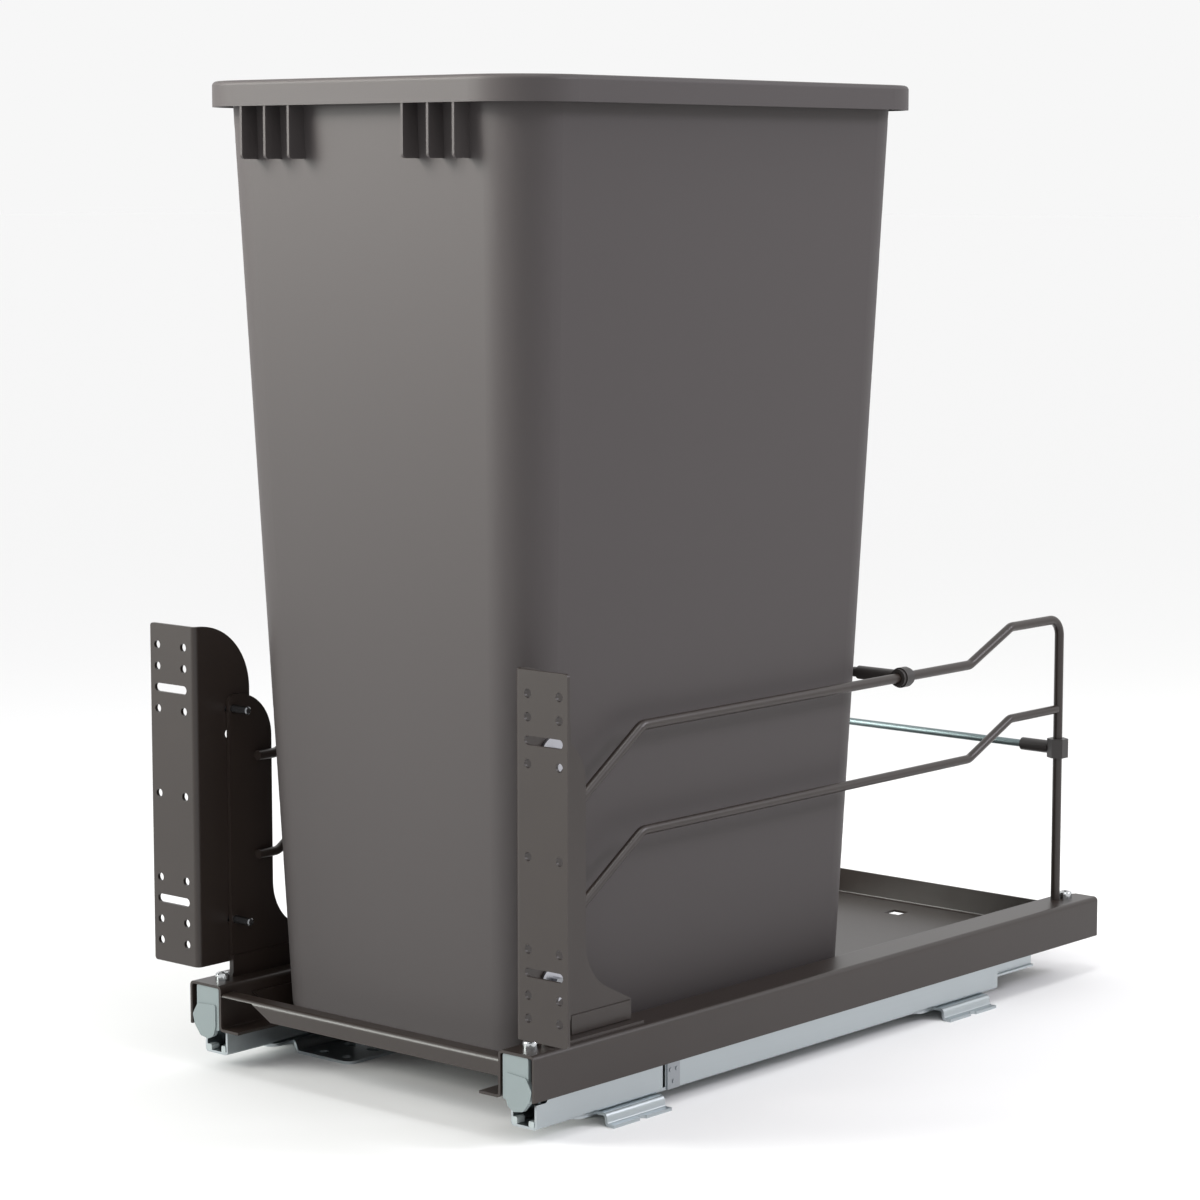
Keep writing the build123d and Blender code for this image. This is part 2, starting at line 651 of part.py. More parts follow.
def post_plate():
    """Upright plate on the side channel that the door bracket bolts to."""
    rear = POST_FRONT + POST_WIDTH
    top = channel_top + POST_HEIGHT
    foot_rear = POST_FRONT + POST_FOOT_LENGTH
    points = ((POST_FRONT, channel_top), (POST_FRONT, top), (rear, top),
              (rear, channel_top + POST_FLARE_HEIGHT),
              (foot_rear, channel_top + POST_FOOT_HEIGHT), (foot_rear, channel_top))
    radii = (0, POST_FRONT_CORNER, POST_REAR_CORNER, POST_FLARE_RADIUS, POST_BAND_CORNER, 0)
    plate = along_x(rounded_outline(points, radii), post_inner, post_outer)
    flange_top = channel_top + POST_BAND_FOOT - POST_BAND_RAISE / 2
    plate += block((post_inner, post_outer + POST_FLANGE), (POST_FRONT, foot_rear + POST_SHEET),
                   (channel_top, flange_top))
    band_low = channel_top + POST_BAND_FOOT
    band_high = band_low + POST_BAND_HEIGHT - POST_BAND_RAISE
    door_rear = door_front_face + DOOR_SIDE_DEPTH + DOOR_ADJUST_BACK + SLIP_GAP
    plate += block((post_inner - POST_BAND_RAISE, post_inner), (POST_FRONT, foot_rear - POST_BAND_RAISE),
                   (band_low, band_high))
    plate += block((post_outer, post_outer + POST_BAND_RAISE),
                   (door_rear, foot_rear - POST_BAND_RAISE), (band_low, band_high))
    for z in bolt_levels:
        plate -= rod_x(BOLT_DIAMETER / 2 + BOLT_HOLE_GAP, post_inner - OVERRUN,
                       post_outer + OVERRUN, BOLT_SETBACK, z)
    return plate


def door_bracket():
    """Angle bracket with the hole pattern for the cabinet door."""
    half = DOOR_SHEET / 2
    outer = door_side_inner + DOOR_FLANGE
    side_rear = door_front_face + DOOR_SIDE_DEPTH
    points = ((outer, door_front_face + half), (door_side_inner + half, door_front_face + half),
              (door_side_inner + half, side_rear))
    top = door_bottom + DOOR_HEIGHT
    bracket = along_z(bent_strip(points, DOOR_SHEET, DOOR_BEND), door_bottom, top)
    bracket = fillet(bracket.edges().filter_by(Axis.Y).group_by(Axis.X)[-1], DOOR_CORNER)
    radius = min(DOOR_SIDE_CORNER, DOOR_SIDE_DEPTH - DOOR_SHEET - half)
    corner = Pos(side_rear - radius / 2, top - radius / 2) * Rectangle(radius, radius)
    corner -= Pos(side_rear - radius, top - radius) * Circle(radius)
    side = (door_side_inner - OVERRUN, door_side_outer + OVERRUN)
    bracket -= along_x(corner, *side)
    low_edges = bracket.edges().filter_by(Axis.X).group_by(Axis.Y)[-1].group_by(Axis.Z)[0]
    bracket = fillet(low_edges, DOOR_SIDE_LOW_CORNER)
    far_column = outer - DOOR_EDGE
    columns = (far_column - DOOR_COLUMN_PITCH, far_column)
    front = door_front_face - OVERRUN
    rear = door_rear_face + OVERRUN
    for row in DOOR_HOLE_PITCH_SHARES:
        for x in columns:
            bracket -= rod_y(DOOR_HOLE_DIAMETER / 2, front, rear, x, door_hole_base + row * DOOR_PITCH)
    for row in DOOR_SLOT_PITCH_SHARES:
        slot = SlotOverall(DOOR_COLUMN_PITCH + DOOR_HOLE_DIAMETER, DOOR_HOLE_DIAMETER)
        place = Pos(sum(columns) / 2, door_hole_base + row * DOOR_PITCH)
        bracket -= along_y(place * slot, front, rear)
    slot_height = BOLT_DIAMETER + 2 * SLIP_GAP
    slot = SlotOverall(slot_height + DOOR_ADJUST_BACK + DOOR_ADJUST_FORWARD, slot_height)
    slot_middle = BOLT_SETBACK + (DOOR_ADJUST_FORWARD - DOOR_ADJUST_BACK) / 2
    spare = bolt_levels[-1] - DOOR_SPARE_SLOT_DROP
    for z in bolt_levels + [spare]:
        bracket -= along_x(Pos(slot_middle, z) * slot, *side)
    return bracket


def bracket_bolts():
    """Bolts through the door bracket, with their ends standing inside the post."""
    bolts = []
    seat = door_side_outer + SLIP_GAP + WASHER_THICKNESS
    for z in bolt_levels:
        bolt = rod_x(BOLT_DIAMETER / 2, post_inner - BOLT_INSIDE, seat, BOLT_SETBACK, z)
        bolt = chamfer(bolt.edges().group_by(Axis.X)[0], BOLT_CHAMFER)
        head = Pos(BOLT_SETBACK, z) * RegularPolygon(BOLT_HEAD_FLATS / 2, 6, major_radius=False)
        bolts.append(bolt + along_x(head, seat, seat + BOLT_HEAD_HEIGHT))
    return group(bolts)


def bracket_washers():
    """Wide washers under the bolt heads."""
    washers = []
    start = door_side_outer + SLIP_GAP
    for z in bolt_levels:
        ring = Circle(WASHER_DIAMETER / 2) - Circle(BOLT_DIAMETER / 2 + BOLT_HOLE_GAP)
        washers.append(along_x(Pos(BOLT_SETBACK, z) * ring, start, start + WASHER_THICKNESS))
    return group(washers)


def pan_screw():
    """Pan head screw with a cross recess, standing on the origin."""
    radius = SCREW_HEAD_DIAMETER / 2
    head = rod_z(radius, channel_top, channel_top + SCREW_HEAD_HEIGHT, 0, 0)
    head = fillet(head.edges().group_by(Axis.Z)[-1], SCREW_HEAD_ROUND)
    half = SCREW_RECESS_WIDTH / 2
    floor = channel_top + SCREW_HEAD_HEIGHT - SCREW_RECESS_DEPTH
    ceiling = channel_top + SCREW_HEAD_HEIGHT + OVERRUN
    for x_reach, y_reach in ((radius / 2, half), (half, radius / 2)):
        head -= block((-x_reach, x_reach), (-y_reach, y_reach), (floor, ceiling))
    return head + rod_z(SCREW_SHANK_DIAMETER / 2, upper_track - SCREW_INSIDE, channel_top, 0, 0)


def channel_screws():
    """Pan head screws that pull the side channels down onto the runners."""
    screw = Rot(0, 0, SCREW_TURN) * pan_screw()
    return group(Pos(slide_centre, y, 0) * screw for y in screw_places())


def bent_wire(points, radii, diameter, x):
    """A round wire along a path of straight runs and bends in one plane."""
    path = FilletPolyline(*[(x, y, z) for y, z in points], radius=list(radii))
    start = Plane(origin=path @ 0, z_dir=path % 0)
    return sweep(start * Circle(diameter / 2), path=path)


def upper_wire():
    """Upper side rail, which turns down at the back as its own post."""
    levels = [channel_top + height for height in
              (UPPER_WIRE_START_HEIGHT, UPPER_WIRE_RUN_HEIGHT, UPPER_WIRE_TOP_HEIGHT)]
    points = ((WIRE_START, levels[0]), (WIRE_FIRST_BEND, levels[0]), (WIRE_RISE_END, levels[1]),
              (wire_dip_start, levels[1]), (wire_dip_end, levels[2]),
              (wire_post_y, levels[2]), (wire_post_y, channel_top))
    radii = [WIRE_BEND] * 4 + [WIRE_CORNER]
    return bent_wire(points, radii, WIRE_DIAMETER, wire_x)


def lower_wire():
    """Lower side rail, welded to the post plate and to the rear post."""
    levels = [channel_top + height for height in
              (LOWER_WIRE_START_HEIGHT, LOWER_WIRE_RUN_HEIGHT, LOWER_WIRE_TOP_HEIGHT)]
    points = ((WIRE_START, levels[0]), (WIRE_FIRST_BEND, levels[0]), (WIRE_RISE_END, levels[1]),
              (wire_dip_start, levels[1]), (wire_dip_end, levels[2]),
              (wire_post_y - WIRE_DIAMETER / 2, levels[2]))
    x = post_inner - LOW_WIRE_DIAMETER / 2
    return bent_wire(points, [WIRE_BEND] * 4, LOW_WIRE_DIAMETER, x)


def rear_rod():
    """Plated rod across the back, between the two rear posts."""
    end = wire_x - REAR_CLIP_FLATS / 2 - ROD_SLEEVE_LENGTH + ROD_SLEEVE_OVERLAP
    return rod_x(ROD_DIAMETER / 2, -end, end, wire_post_y, channel_top + REAR_ROD_HEIGHT)


def rear_sleeve():
    """Moulded sleeve on the end of the rear rod."""
    z = channel_top + REAR_ROD_HEIGHT
    end = wire_x - REAR_CLIP_FLATS / 2
    start = end - ROD_SLEEVE_LENGTH
    sleeve = rod_x(ROD_SLEEVE_DIAMETER / 2, start, end, wire_post_y, z)
    return sleeve - rod_x(ROD_DIAMETER / 2 + ROD_FIT, start - OVERRUN,
                          start + ROD_SLEEVE_OVERLAP, wire_post_y, z)


def rear_clip():
    """Hexagonal clip that grips the rear post."""
    z = channel_top + REAR_ROD_HEIGHT
    face = RegularPolygon(REAR_CLIP_FLATS / 2, 6, major_radius=False, rotation=30)
    face -= Circle(WIRE_DIAMETER / 2 + ROD_FIT)
    return along_z(Pos(wire_x, wire_post_y) * face, z - REAR_CLIP_HEIGHT / 2,
                   z + REAR_CLIP_HEIGHT / 2)


def retainer_level():
    """Height of the bin retainer, on the straight run of the upper rail."""
    return channel_top + UPPER_WIRE_RUN_HEIGHT


def retainer_ring():
    """Ring that slides along the upper rail, with a narrower collar."""
    z = retainer_level()
    front = retainer_y - RETAINER_RING_LENGTH / 2
    rear = retainer_y + RETAINER_RING_LENGTH / 2
    ring = rod_y(RETAINER_RING_DIAMETER / 2, front, rear, wire_x, z)
    ring += rod_y(RETAINER_RING_COLLAR / 2, front - RETAINER_COLLAR_LENGTH,
                  rear + RETAINER_COLLAR_LENGTH, wire_x, z)
    return ring - rod_y(WIRE_DIAMETER / 2 + SLIP_GAP, front - RETAINER_COLLAR_LENGTH - OVERRUN,
                        rear + RETAINER_COLLAR_LENGTH + OVERRUN, wire_x, z)


def retainer_sleeve():
    """Barrel between the ring and the rod, with a narrower neck where the rod goes in."""
    z = retainer_level()
    end = wire_x - RETAINER_RING_COLLAR / 2
    start = end - RETAINER_SLEEVE_LENGTH
    sleeve = rod_x(ROD_SLEEVE_DIAMETER / 2, start, end, retainer_y, z)
    sleeve += rod_x(RETAINER_NECK_DIAMETER / 2, start - RETAINER_NECK_LENGTH, start, retainer_y, z)
    sleeve -= rod_y(RETAINER_RING_DIAMETER / 2, retainer_y - RETAINER_RING_DIAMETER,
                    retainer_y + RETAINER_RING_DIAMETER, wire_x, z)
    return sleeve - rod_x(ROD_DIAMETER / 2 + ROD_FIT, start - RETAINER_NECK_LENGTH - OVERRUN,
                          start + ROD_SLEEVE_OVERLAP, retainer_y, z)


def retainer_rod():
    """Plated rod behind the bin, between the two upper rails."""
    end = wire_x - RETAINER_RING_COLLAR / 2 - RETAINER_SLEEVE_LENGTH + ROD_SLEEVE_OVERLAP
    return rod_x(ROD_DIAMETER / 2, -end, end, retainer_y, retainer_level())


def bin_section(level, inset):
    """Rounded rectangle of the tapering bin wall at one level."""
    share = (bin_top - level) / BIN_HEIGHT
    shrink = BIN_RIM_OVERHANG + BIN_TAPER * share + inset
    top_corner = BIN_CORNER - BIN_RIM_OVERHANG
    corner = top_corner + (BIN_FOOT_CORNER - top_corner) * share - inset
    outline = RectangleRounded(bin_rim_width - 2 * shrink, bin_rim_depth - 2 * shrink, corner)
    return Pos(0, bin_centre_y, level) * outline


def rim_block(inset, bottom, top):
    """Solid rounded slab at the rim, drawn in by the inset."""
    outline = RectangleRounded(bin_rim_width - 2 * inset, bin_rim_depth - 2 * inset,
                               BIN_CORNER - inset)
    return Pos(0, bin_centre_y, 0) * along_z(outline, bottom, top)


def fin(x):
    """One thin fin under the front of the rim, for holding a bag."""
    wall = BIN_RIM_OVERHANG + BIN_TAPER * (BIN_RIM_HEIGHT + FIN_DROP) / BIN_HEIGHT + BIN_WALL / 2
    low = bin_rim_bottom - FIN_DROP
    face = rounded_outline(
        ((FIN_FRONT_INSET, low), (wall, low), (wall, bin_rim_bottom + BIN_RIM_LIP),
         (FIN_FRONT_INSET, bin_rim_bottom + BIN_RIM_LIP)),
        (FIN_CORNER, 0, 0, 0))
    return along_x(face, x - FIN_THICKNESS / 2, x + FIN_THICKNESS / 2)


def bin_fins():
    """Two groups of three fins at the front, and the same turned round at the back."""
    turn = Pos(0, bin_centre_y, 0) * Rot(0, 0, 180) * Pos(0, -bin_centre_y, 0)
    fins = []
    for middle in (FIN_GROUP_FROM_LEFT - bin_rim_width / 2, bin_rim_width / 2 - FIN_GROUP_FROM_RIGHT):
        for step in (-1, 0, 1):
            front_fin = fin(middle + step * FIN_PITCH)
            fins.extend((front_fin, turn * front_fin))
    return fins


def waste_bin():
    """Tall tapered bin with a turned down rim."""
    outer = loft([bin_section(bin_bottom, 0).face(), bin_section(bin_top, 0).face()])
    outer = fillet(outer.edges().group_by(Axis.Z)[0], BIN_FOOT_ROUND)
    inner_floor = bin_bottom + BIN_FLOOR
    inner = loft([bin_section(inner_floor, BIN_WALL).face(),
                  bin_section(bin_top + OVERRUN, BIN_WALL).face()])
    inner = fillet(inner.edges().group_by(Axis.Z)[0], BIN_FOOT_ROUND - BIN_WALL)
    rim = rim_block(0, bin_rim_bottom, bin_top)
    rim = fillet(rim.edges().group_by(Axis.Z)[-1], BIN_RIM_ROUND)
    rim -= rim_block(BIN_RIM_LIP, bin_rim_bottom - OVERRUN, bin_top - BIN_RIM_TOP)
    body = outer + rim
    for piece in bin_fins():
        body += piece
    return body - inner


def place_origin(shape):
    """Move a finished piece from the frame's front to the origin at mid depth."""
    return Pos(0, -depth_centre, 0) * shape


def save(name, shape):
    """Write one piece to its own file."""
    placed = place_origin(shape)
    export_step(group(placed.solids()), os.path.join("parts", name + ".step"))


def both_sides(name, shape):
    """Write a right hand piece and its mirrored left hand twin."""
    save(name + "_right", shape)
    save(name + "_left", mirror(shape, about=Plane.YZ))


def paired(name, shape):
    """Write one file that holds a right hand piece and its mirrored twin."""
    twin = mirror(shape, about=Plane.YZ)
    save(name, group(shape.solids() + twin.solids()))


def main():
    """Make every piece and write it."""
    os.makedirs("parts", exist_ok=True)
    both_sides("side_channel", side_channel())
    both_sides("cabinet_member", cabinet_member())
    both_sides("member_clip", member_clip())
    both_sides("front_glides", front_glides())
    both_sides("intermediate_beam", intermediate_beam())
    both_sides("drawer_runner", drawer_runner())
    both_sides("front_stop", front_stop())
    both_sides("lower_cage", roller_cage(LOWER_CAGE_FRONT, lower_track))
    both_sides("lower_rollers", rollers(LOWER_CAGE_FRONT, lower_track))
    both_sides("upper_cage", roller_cage(UPPER_CAGE_FRONT, beam_top))
    both_sides("upper_rollers", rollers(UPPER_CAGE_FRONT, beam_top))
    both_sides("floor_bracket_front", floor_bracket(FLOOR_BRACKET_FRONT))
    both_sides("floor_bracket_rear", floor_bracket(rear_bracket_front))
    both_sides("damper_body", damper_body())
    both_sides("damper_rod", damper_rod())
    paired("closing_strikers", closing_striker())
    both_sides("post_plate", post_plate())
    both_sides("door_bracket", door_bracket())
    paired("bracket_bolts", bracket_bolts())
    paired("bracket_washers", bracket_washers())
    paired("channel_screws", channel_screws())
    both_sides("upper_wire", upper_wire())
    both_sides("lower_wire", lower_wire())
    paired("rear_rod_clips", rear_clip())
    paired("rear_rod_sleeves", rear_sleeve())
    paired("retainer_rings", retainer_ring())
    paired("retainer_sleeves", retainer_sleeve())
    save("tray_pan", tray_pan())
    save("front_rail", front_rail())
    save("rear_rod", rear_rod())
    save("retainer_rod", retainer_rod())
    save("waste_bin", waste_bin())


main()
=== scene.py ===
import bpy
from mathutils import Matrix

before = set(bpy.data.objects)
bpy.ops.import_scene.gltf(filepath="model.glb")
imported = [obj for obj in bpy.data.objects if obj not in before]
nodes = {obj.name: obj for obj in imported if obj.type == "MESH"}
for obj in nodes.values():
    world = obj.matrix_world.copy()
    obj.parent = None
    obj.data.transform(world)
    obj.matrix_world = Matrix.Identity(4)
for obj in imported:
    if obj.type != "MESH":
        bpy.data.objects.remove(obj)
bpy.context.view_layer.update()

import math

import bpy
from mathutils import Matrix, Vector


# Camera and light. The photograph was taken from the front right, a little above
# the rails, with a long lens, so the far bracket is almost as large as the near one.
# Four soft boxes light the front, the top and the right side without hard shadows.

PHOTO_AZIMUTH = math.radians(41.10)
PHOTO_ELEVATION = math.radians(6.995)
PHOTO_PLACE = (1.36135, -1.62476, 0.52470)
PHOTO_LENS_MM = 103.10
SENSOR_MM = 36.0
FARTHEST_SEEN = 90.0


def srgb(hex_colour):
    """A hex colour as written for a screen, turned to the linear values that light adds up in."""
    shares = [int(hex_colour[i:i + 2], 16) / 255 for i in (1, 3, 5)]
    linear = [s / 12.92 if s <= 0.04045 else ((s + 0.055) / 1.055) ** 2.4 for s in shares]
    return (*linear, 1.0)


def soft_box(name, place, aim, size, watts, colour, spread):
    """A square studio light that faces a point of the object; its spread is in degrees."""
    light = bpy.data.lights.new(name, "AREA")
    light.shape = "SQUARE"
    light.size = size
    light.spread = math.radians(spread)
    light.energy = watts
    light.color = srgb(colour)[:3]
    holder = bpy.data.objects.new(name, light)
    holder.location = place
    holder.rotation_euler = (Vector(aim) - Vector(place)).to_track_quat("-Z", "Y").to_euler()
    holder.visible_camera = False
    bpy.context.scene.collection.objects.link(holder)


lens = bpy.data.cameras.new("photo_camera")
lens.sensor_width = SENSOR_MM
lens.lens = PHOTO_LENS_MM
lens.clip_end = FARTHEST_SEEN
camera = bpy.data.objects.new("photo_camera", lens)
back = Vector((math.sin(PHOTO_AZIMUTH) * math.cos(PHOTO_ELEVATION),
               -math.cos(PHOTO_AZIMUTH) * math.cos(PHOTO_ELEVATION),
               math.sin(PHOTO_ELEVATION)))
right = Vector((math.cos(PHOTO_AZIMUTH), math.sin(PHOTO_AZIMUTH), 0.0))
camera_turn = Matrix((right, back.cross(right), back)).transposed()
camera.matrix_world = Matrix.Translation(PHOTO_PLACE) @ camera_turn.to_4x4()
bpy.context.scene.collection.objects.link(camera)
bpy.context.scene.camera = camera

soft_box("key_light", place=(-0.75, -1.20, 1.35), aim=(-0.05, -0.15, 0.95),
         size=0.7, watts=6.4, colour="#fffaf4", spread=56.0)
soft_box("front_card", place=(-1.62, -1.86, 1.00), aim=(0.0, 0.0, 0.55),
         size=1.0, watts=9.6, colour="#fbfff9", spread=75.0)
soft_box("top_strip", place=(0.45, -0.25, 1.75), aim=(0.05, 0.10, 0.20),
         size=0.35, watts=0.6, colour="#ffffff", spread=60.0)
soft_box("right_light", place=(1.60, 0.95, 1.45), aim=(0.10, 0.05, 0.55),
         size=0.5, watts=3.2, colour="#f7f4ff", spread=75.0)

bpy.context.scene.view_settings.view_transform = "Standard"


# Studio air and floor. White light from all around that grows a little towards the
# ceiling, and a wide pale painted sheet that meets it without a line one can see. How
# high the air grows is given as the sine of the angle above the horizon.

FLOOR_HALF = 40.0
FLOOR_COLOUR = "#ececec"
AIR_COLOUR = "#ffffff"
AIR_GROWS_FROM = 0.05
AIR_GROWS_TO = 0.60
AIR_AT_FLOOR = 0.93
AIR_AT_CEILING = 1.12


def add_node(tree, kind, settings=None, links=None):
    """Adds a shader node, sets its properties and sockets, and links its inputs."""
    node = tree.nodes.new(kind)
    for name, value in (settings or {}).items():
        if name in node.inputs:
            node.inputs[name].default_value = value
        else:
            setattr(node, name, value)
    for name, source in (links or {}).items():
        tree.links.new(source, node.inputs[name])
    return node


def new_material(name, colour, roughness, metallic=0.0, specular=0.5):
    """A material of one even colour and gloss."""
    material = bpy.data.materials.new(name)
    material.use_nodes = True
    shader = material.node_tree.nodes["Principled BSDF"]
    shader.inputs["Base Color"].default_value = srgb(colour)
    shader.inputs["Roughness"].default_value = roughness
    shader.inputs["Metallic"].default_value = metallic
    shader.inputs["Specular IOR Level"].default_value = specular
    return material


air = bpy.data.worlds.new("studio_air")
air.use_nodes = True
air_shader = air.node_tree.nodes["Background"]
air_shader.inputs["Color"].default_value = srgb(AIR_COLOUR)
air_place = add_node(air.node_tree, "ShaderNodeTexCoord")
air_height = add_node(air.node_tree, "ShaderNodeSeparateXYZ",
                      links={"Vector": air_place.outputs["Generated"]})
air_light = add_node(air.node_tree, "ShaderNodeMapRange",
                     {"From Min": AIR_GROWS_FROM, "From Max": AIR_GROWS_TO,
                      "To Min": AIR_AT_FLOOR, "To Max": AIR_AT_CEILING},
                     {"Value": air_height.outputs["Z"]})
air.node_tree.links.new(air_light.outputs["Result"], air_shader.inputs["Strength"])
bpy.context.scene.world = air

# Matt floor paint: takes a soft shadow and mirrors nothing.
floor_paint = new_material("matt_floor_paint", FLOOR_COLOUR, roughness=0.85)
floor_mesh = bpy.data.meshes.new("studio_floor")
floor_mesh.from_pydata([(-FLOOR_HALF, -FLOOR_HALF, 0), (FLOOR_HALF, -FLOOR_HALF, 0),
                        (FLOOR_HALF, FLOOR_HALF, 0), (-FLOOR_HALF, FLOOR_HALF, 0)], [], [(0, 1, 2, 3)])
floor_mesh.materials.append(floor_paint)
floor = bpy.data.objects.new("studio_floor", floor_mesh)
bpy.context.scene.collection.objects.link(floor)


# Slides and hat brackets. Cold rolled steel sheet, folded and zinc plated. The brackets
# are screwed to the cabinet floor and carry a fixed channel on each side; the beam and
# the runner travel in it.

SLIDE_EDGE_MM = 0.15
ZINC_COLOUR = "#b2b9bc"
ZINC_SMOOTHEST = 0.26
ZINC_ROUGHEST = 0.44
ROLLING_LINE_MM = 0.8
ROLLING_LINE_LENGTH_MM = 40.0
EDGE_STEPS = 2
ROUNDED_ABOVE_DEGREES = 50.0


def finish_piece(name, material, edge_mm=0.0):
    """Gives a CAD node its finish, and rounds its sharp edges a little so that they catch light."""
    piece = nodes[name]
    piece.material_slots[0].material = material
    if edge_mm:
        edge = piece.modifiers.new("edge_round", "BEVEL")
        edge.width = edge_mm / 1000
        edge.segments = EDGE_STEPS
        edge.limit_method = "ANGLE"
        edge.angle_limit = math.radians(ROUNDED_ABOVE_DEGREES)


def both_sides(*names):
    """The left and right node names of mirrored pieces."""
    return [name + side for name in names for side in ("_left", "_right")]


# Rolled zinc plate: a soft grey sheen with faint lines along the rolling direction. The
# real lines are under 0.1 mm apart, too fine to show, so they are drawn coarser.
zinc_plate = new_material("rolled_zinc_plate", ZINC_COLOUR, roughness=ZINC_ROUGHEST, metallic=1.0)
zinc_tree = zinc_plate.node_tree
zinc_place = add_node(zinc_tree, "ShaderNodeTexCoord")
zinc_stretch = add_node(zinc_tree, "ShaderNodeMapping",
                        {"Scale": (1.0, ROLLING_LINE_MM / ROLLING_LINE_LENGTH_MM, 1.0)},
                        {"Vector": zinc_place.outputs["Object"]})
zinc_lines = add_node(zinc_tree, "ShaderNodeTexNoise", {"Scale": 1000 / ROLLING_LINE_MM},
                      {"Vector": zinc_stretch.outputs["Vector"]})
zinc_gloss = add_node(zinc_tree, "ShaderNodeMapRange",
                      {"To Min": ZINC_SMOOTHEST, "To Max": ZINC_ROUGHEST},
                      {"Value": zinc_lines.outputs["Fac"]})
zinc_tree.links.new(zinc_gloss.outputs["Result"], zinc_tree.nodes["Principled BSDF"].inputs["Roughness"])

for name in both_sides("floor_bracket_front", "floor_bracket_rear", "cabinet_member",
                       "intermediate_beam", "drawer_runner"):
    finish_piece(name, zinc_plate, SLIDE_EDGE_MM)


# Member clips. Small plates of spring steel with three pressed dimples, stamped and left
# unplated, which lie flat on the outside of each fixed channel behind its slot.

CLIP_EDGE_MM = 0.1
CLIP_COLOUR = "#9da1a5"

# Dull clip steel: darker and less shiny than the plated channel that it lies on.
clip_steel = new_material("dull_clip_steel", CLIP_COLOUR, roughness=0.42, metallic=1.0)

for name in both_sides("member_clip"):
    finish_piece(name, clip_steel, CLIP_EDGE_MM)


# Rollers and cages. Hardened steel rollers, ground round, held at an even pitch in
# moulded strips of acetal that run along between the tracks.

ROLLER_COLOUR = "#c9cccd"
ACETAL_COLOUR = "#c9cfcd"
ACETAL_GRAIN_MM = 0.8
ACETAL_GRAIN_DEPTH_MM = 0.01


def fine_texture(material, pitch_mm, depth_mm, octaves=2.0):
    """Gives a material an even random surface texture of a given pitch and depth."""
    tree = material.node_tree
    place = add_node(tree, "ShaderNodeTexCoord")
    noise = add_node(tree, "ShaderNodeTexNoise", {"Scale": 1000 / pitch_mm, "Detail": octaves},
                     {"Vector": place.outputs["Object"]})
    bump = add_node(tree, "ShaderNodeBump", {"Distance": depth_mm / 1000},
                    {"Height": noise.outputs["Fac"]})
    tree.links.new(bump.outputs["Normal"], tree.nodes["Principled BSDF"].inputs["Normal"])
    return place


# Ground roller steel: bright, with narrow sharp highlights.
roller_steel = new_material("ground_roller_steel", ROLLER_COLOUR, roughness=0.20, metallic=1.0)

# Natural acetal: cool white and waxy. Its grain is drawn coarser than the real one, which
# is too fine to show.
acetal = new_material("natural_acetal", ACETAL_COLOUR, roughness=0.42)
fine_texture(acetal, ACETAL_GRAIN_MM, ACETAL_GRAIN_DEPTH_MM)

for name in both_sides("lower_rollers", "upper_rollers"):
    finish_piece(name, roller_steel)
for name in both_sides("lower_cage", "upper_cage"):
    finish_piece(name, acetal)


# Front glides. Two small blocks of grey nylon, moulded and pressed into the lower corners
# of each fixed channel at its mouth, which guide the beam as it comes out.

GLIDE_EDGE_MM = 0.2
GLIDE_COLOUR = "#a6aeaf"

# Grey glide nylon: smooth from the mould, with a mild shine.
glide_nylon = new_material("grey_glide_nylon", GLIDE_COLOUR, roughness=0.38)

for name in both_sides("front_glides"):
    finish_piece(name, glide_nylon, GLIDE_EDGE_MM)


# Runner end stops. Flat plates with the teardrop lobe of the height adjuster, moulded from
# grey nylon and pushed into the front end of each runner.

STOP_EDGE_MM = 0.6
STOP_COLOUR = "#7d8788"
STOP_GRAIN_MM = 0.9
STOP_GRAIN_DEPTH_MM = 0.012

# Grey moulded nylon: bluish grey with a broad soft shine. Its grain is drawn coarser than
# the real one, which is too fine to show.
stop_nylon = new_material("grey_moulded_nylon", STOP_COLOUR, roughness=0.36)
fine_texture(stop_nylon, STOP_GRAIN_MM, STOP_GRAIN_DEPTH_MM)

for name in both_sides("front_stop"):
    finish_piece(name, stop_nylon, STOP_EDGE_MM)


# Dampers. A cylinder block moulded from black nylon, with a ground steel rod that the
# frame's striker pushes in over the last of the closing travel.

DARK_NYLON_COLOUR = "#2d2a29"
DARK_NYLON_GRAIN_MM = 1.0
DARK_NYLON_GRAIN_DEPTH_MM = 0.012
DAMPER_ROD_COLOUR = "#c9cccd"

# Dark moulded nylon: a warm near black with a soft shine. Its grain is drawn coarser than
# the real one, which is too fine to show.
dark_nylon = new_material("dark_moulded_nylon", DARK_NYLON_COLOUR, roughness=0.42)
fine_texture(dark_nylon, DARK_NYLON_GRAIN_MM, DARK_NYLON_GRAIN_DEPTH_MM)

# Ground rod steel: nearly a mirror, so it shows as a bright line.
damper_rod_steel = new_material("ground_rod_steel", DAMPER_ROD_COLOUR, roughness=0.18, metallic=1.0)

for name in both_sides("damper_body"):
    finish_piece(name, dark_nylon)
for name in both_sides("damper_rod"):
    finish_piece(name, damper_rod_steel)


# Welded frame: side channels, pan, front rail, post plates, strikers and wire rails. Mild
# steel, folded or bent, welded together and then powder coated as one.

FRAME_EDGE_MM = 0.25
FRONT_RAIL_EDGE_MM = 0.12
COAT_COLOUR = "#231b17"
COAT_PALE_COLOUR = "#29211d"
COAT_CLOUD_MM = 45.5
PEEL_MM = 1.4
PEEL_DEPTH_MM = 0.02

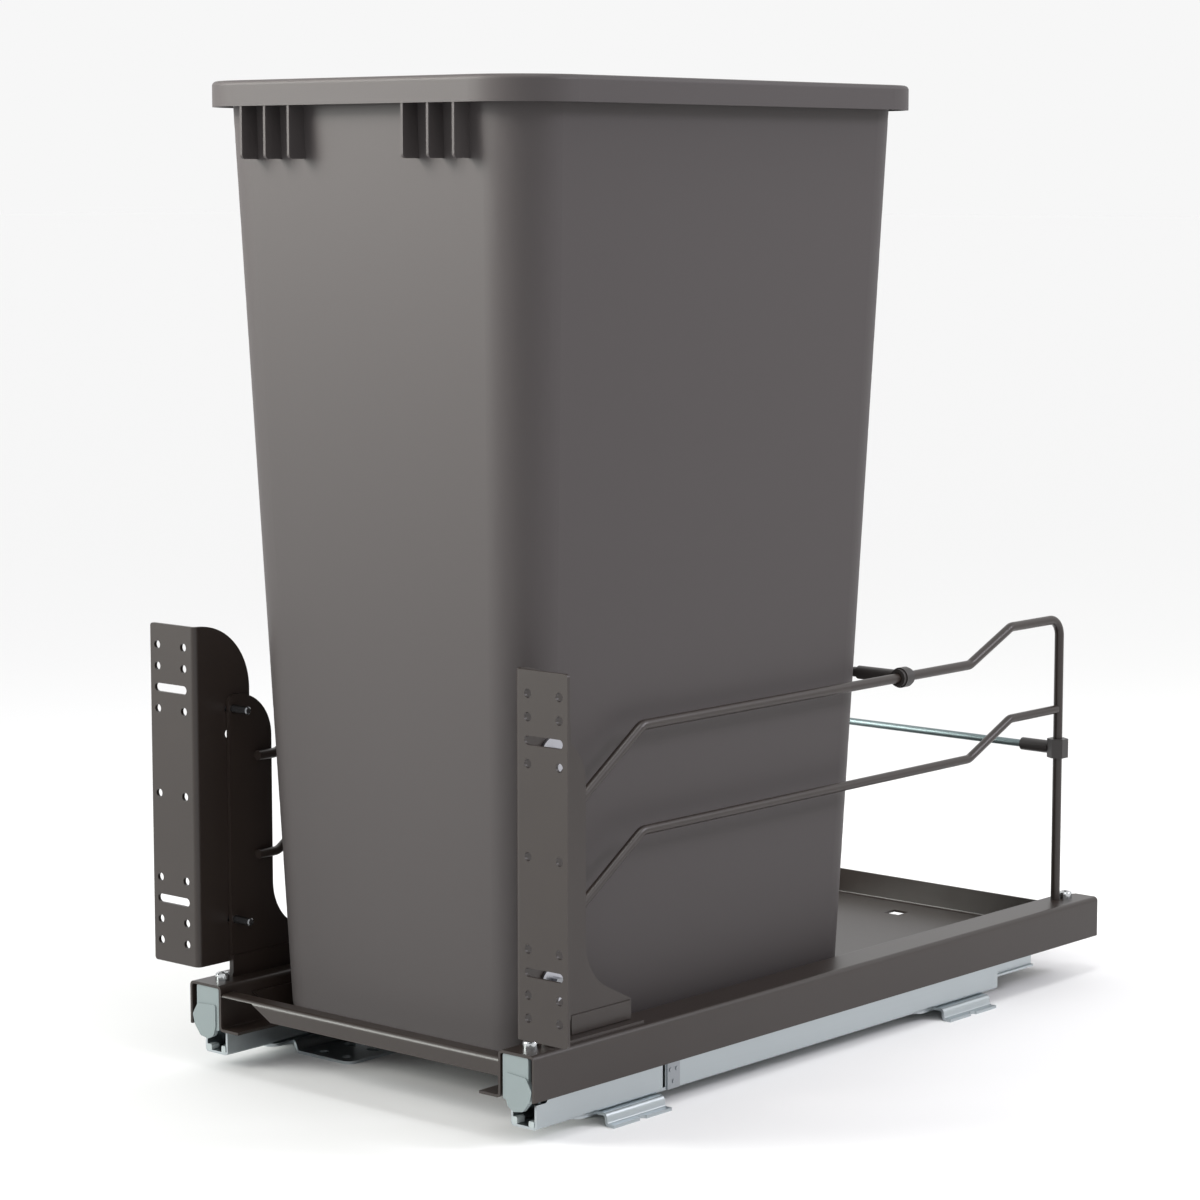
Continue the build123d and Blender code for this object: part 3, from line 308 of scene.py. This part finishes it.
# Satin powder coat: a dark brown skin with a fine orange peel, which breaks highlights up
# softly, and faint wide clouds of tone from its uneven thickness.
powder_coat = new_material("satin_powder_coat", COAT_COLOUR, roughness=0.37, specular=0.54)
coat_place = fine_texture(powder_coat, PEEL_MM, PEEL_DEPTH_MM)
coat_tree = powder_coat.node_tree
coat_clouds = add_node(coat_tree, "ShaderNodeTexNoise", {"Scale": 1000 / COAT_CLOUD_MM, "Detail": 3.0},
                       {"Vector": coat_place.outputs["Object"]})
coat_tone = add_node(coat_tree, "ShaderNodeValToRGB", links={"Fac": coat_clouds.outputs["Fac"]})
coat_tone.color_ramp.elements[0].color = srgb(COAT_COLOUR)
coat_tone.color_ramp.elements[1].color = srgb(COAT_PALE_COLOUR)
coat_tree.links.new(coat_tone.outputs["Color"], coat_tree.nodes["Principled BSDF"].inputs["Base Color"])

for name in both_sides("side_channel", "post_plate") + ["tray_pan", "closing_strikers"]:
    finish_piece(name, powder_coat, FRAME_EDGE_MM)
finish_piece("front_rail", powder_coat, FRONT_RAIL_EDGE_MM)
for name in both_sides("upper_wire", "lower_wire"):
    finish_piece(name, powder_coat)


# Channel screws. Pan heads with a cross recess, cold headed from steel and bright zinc
# plated, which pull the side channels down onto the runners.

SCREW_COLOUR = "#bfc2c4"

# Bright plated steel: the smoothest metal here, so each head shows small clear highlights.
bright_plate = new_material("bright_plated_steel", SCREW_COLOUR, roughness=0.14, metallic=1.0)

finish_piece("channel_screws", bright_plate)


# Door brackets with their bolts and washers. Folded 2 mm steel with a punched hole
# pattern, in the frame's powder coat; two slots in each one's side let it shift on the
# bolts that hold it to the post plate, so that the door can be lined up.

DOOR_BRACKET_EDGE_MM = 0.2
BOLT_COLOUR = "#85878a"
WASHER_COLOUR = "#a6a7ad"

# Plated bolt steel: grey and fairly smooth.
bolt_steel = new_material("plated_bolt_steel", BOLT_COLOUR, roughness=0.20, metallic=1.0)

# Dull washer zinc: paler than the bolt, with a wide soft shine.
washer_zinc = new_material("dull_zinc_washer", WASHER_COLOUR, roughness=0.30, metallic=1.0)

for name in both_sides("door_bracket"):
    finish_piece(name, powder_coat, DOOR_BRACKET_EDGE_MM)
finish_piece("bracket_bolts", bolt_steel)
finish_piece("bracket_washers", washer_zinc)


# Cross rods with their sleeves, clips and rings. Drawn steel rod, zinc plated, pushed into
# dark nylon ends; the rear one is clipped to the posts, and the other one slides along
# the upper rails to hold a bin in place.

CROSS_ROD_COLOUR = "#788587"

# Zinc plated rod: a cool grey with one soft light line along its upper side.
cross_rod_zinc = new_material("zinc_plated_rod", CROSS_ROD_COLOUR, roughness=0.45, metallic=1.0)

for name in ("rear_rod", "retainer_rod"):
    finish_piece(name, cross_rod_zinc)
for name in ("rear_rod_clips", "rear_rod_sleeves", "retainer_rings", "retainer_sleeves"):
    finish_piece(name, dark_nylon)


# Waste bin. Polypropylene, injection moulded in one piece with its rolled rim and fins,
# in a mould with a spark eroded grain; it stands loose in the pan.

BIN_EDGE_MM = 0.3
BIN_COLOUR = "#433f3f"
BIN_GRAIN_MM = 0.9
BIN_GRAIN_DEPTH_MM = 0.035

# Grained polypropylene: a warm dark grey that scatters light and shows only wide pale
# highlights. Its grain is drawn coarser than the real one, which is too fine to show.
bin_plastic = new_material("grained_polypropylene", BIN_COLOUR, roughness=0.55, specular=0.30)
fine_texture(bin_plastic, BIN_GRAIN_MM, BIN_GRAIN_DEPTH_MM, octaves=3.0)

finish_piece("waste_bin", bin_plastic, BIN_EDGE_MM)
